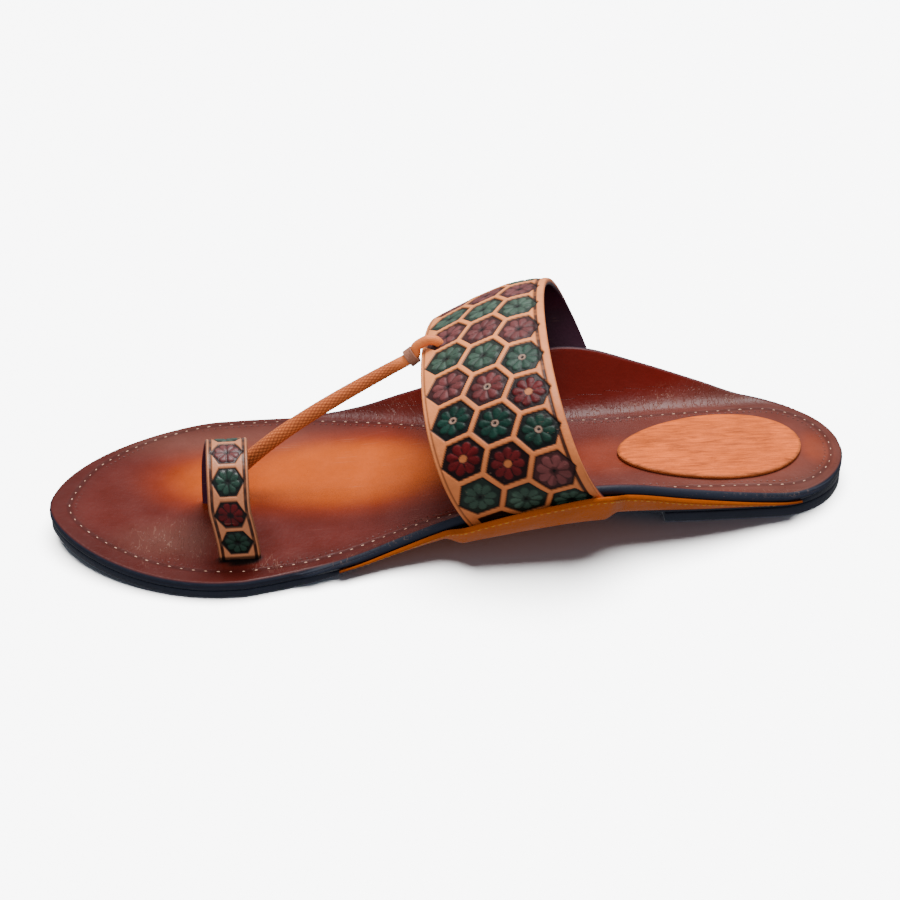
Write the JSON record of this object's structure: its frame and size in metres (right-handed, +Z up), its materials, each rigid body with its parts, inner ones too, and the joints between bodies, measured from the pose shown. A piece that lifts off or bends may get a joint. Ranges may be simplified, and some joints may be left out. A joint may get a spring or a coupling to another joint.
{
  "type": "kolhapuri chappal",
  "caption": "Right leather toe-ring sandal: two-layer sole on a low heel lift, insole with waist ears, tan waist wrap, wide instep band, big-toe ring and a rolled toe cord.",
  "frame": {"origin": "on the floor under the middle of the sandal's own length and width, sole down", "axes": "+X from heel to toe, +Y to the big-toe side, +Z up"},
  "size_m": [0.2618, 0.1094, 0.0632],
  "materials": {
    "outsole": "dark navy edge-dyed leather, satin",
    "heel_lift": "dark navy edge-dyed leather, satin",
    "insole": "burnished burgundy-brown leather, orange-tan in the middle, glossy",
    "waist_wrap": "saddle-tan leather, satin",
    "instep_band": "veg-tan leather, tooled and painted with green and maroon flowers, dark purple-brown inside",
    "toe_ring": "veg-tan leather, tooled and painted with green and maroon flowers",
    "toe_cord": "rolled tan leather with a fine braided texture",
    "cord_keeper": "greyish brown leather sleeve, matt",
    "heel_pad": "natural orange-tan leather, matt, streaky"
  },
  "bodies": {
    "root": {"outsole": "outsole", "heel_lift": "heel_lift", "insole": "insole", "waist_wrap": "waist_wrap", "instep_band": "instep_band", "toe_ring": "toe_ring", "toe_cord": "toe_cord", "cord_keeper": "cord_keeper", "heel_pad": "heel_pad"}
  },
  "joints": []
}
